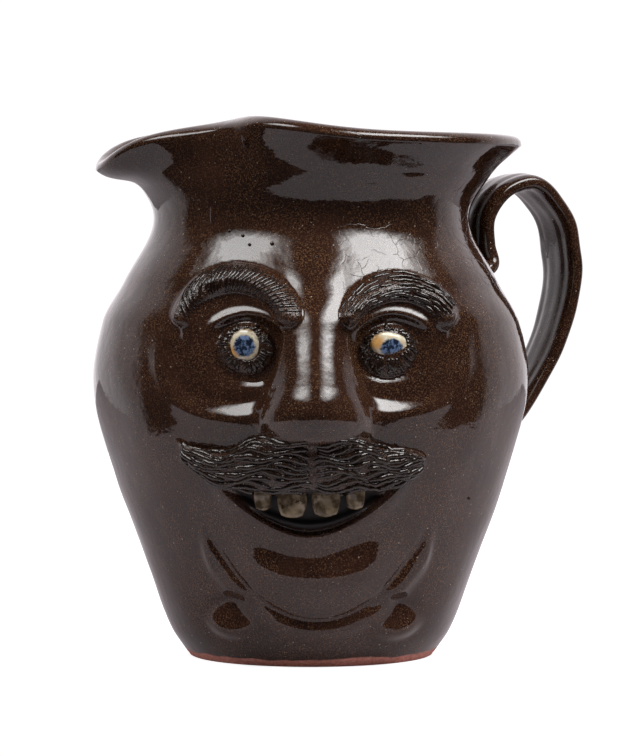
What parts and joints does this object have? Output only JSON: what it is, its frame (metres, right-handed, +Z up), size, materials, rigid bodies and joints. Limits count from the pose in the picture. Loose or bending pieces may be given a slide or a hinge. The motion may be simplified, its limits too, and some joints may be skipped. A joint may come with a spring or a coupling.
{
  "type": "face jug pitcher",
  "caption": "Glazed stoneware pitcher with a pulled spout, strap handle and a modelled face with mustache, inset eyes and teeth.",
  "frame": {"origin": "centre of the foot's underside", "axes": "+Z up along the wheel's axis; the face looks along -Y; the spout leaves towards -X and the handle stands towards +X and a little back"},
  "size_m": [0.2282, 0.2184, 0.2452],
  "materials": {
    "brown_glaze": "glossy dark brown glaze over stoneware",
    "white_glaze": "glossy clear glaze over white clay with a blue pupil",
    "tooth_glaze": "glossy olive glaze over pale clay"
  },
  "bodies": {
    "root": {"jug": "brown_glaze", "left_eye": "white_glaze", "right_eye": "white_glaze", "tooth_1": "tooth_glaze", "tooth_2": "tooth_glaze", "tooth_3": "tooth_glaze", "tooth_4": "tooth_glaze"}
  },
  "joints": []
}
